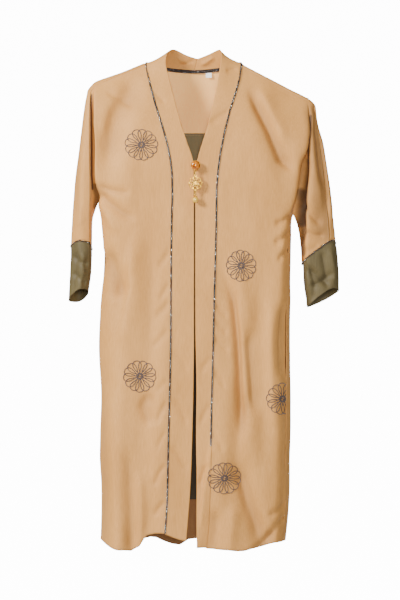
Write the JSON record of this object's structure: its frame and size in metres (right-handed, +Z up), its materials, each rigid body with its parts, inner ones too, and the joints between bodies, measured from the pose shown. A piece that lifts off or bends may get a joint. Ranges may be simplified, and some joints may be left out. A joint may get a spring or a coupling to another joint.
{
  "type": "abaya cloak",
  "caption": "Open-front cloak with loose sleeves, contrast cuffs, a band edged with beaded trim and a hanging clasp, filled out as if worn.",
  "frame": {"origin": "middle of the neck, between front and back, level with the back neck seam", "axes": "+Z up, +X to the viewer's right, -Y the front"},
  "size_m": [0.5244, 0.1504, 0.9489],
  "materials": {
    "tan_cloth": "soft satin crepe",
    "olive_cloth": "olive satin",
    "bead_trim": "dark cord with glass beads",
    "label_cloth": "blank woven white",
    "gold": "polished gold-coloured",
    "amber": "clear amber",
    "pearl": "pearl lustre"
  },
  "bodies": {
    "garment": {"front_left": "tan_cloth", "front_right": "tan_cloth", "back": "tan_cloth", "band_left": "tan_cloth", "band_right": "tan_cloth", "back_panel": "olive_cloth", "cuff_left": "olive_cloth", "cuff_right": "olive_cloth", "trim_left": "bead_trim", "trim_right": "bead_trim", "trim_neck": "bead_trim", "trim_cuff_left": "bead_trim", "trim_cuff_right": "bead_trim", "neck_label": "label_cloth", "button_bezel": "gold", "button_stone": "amber"},
    "pendant": {"ring_upper": "gold", "pendant": "gold"},
    "drop": {"ring_lower": "gold", "pearl_cap": "gold", "pearl": "pearl"}
  },
  "joints": [
    {"name": "pendant_swing", "type": "hinge", "parent": "garment", "child": "pendant", "pos_m": [0.0008, -0.0538, -0.1992], "axis": [0, 1, 0], "range_deg": [-45, 45]},
    {"name": "drop_swing", "type": "hinge", "parent": "pendant", "child": "drop", "pos_m": [0.0008, -0.0538, -0.2387], "axis": [0, 1, 0], "range_deg": [-45, 45]}
  ]
}
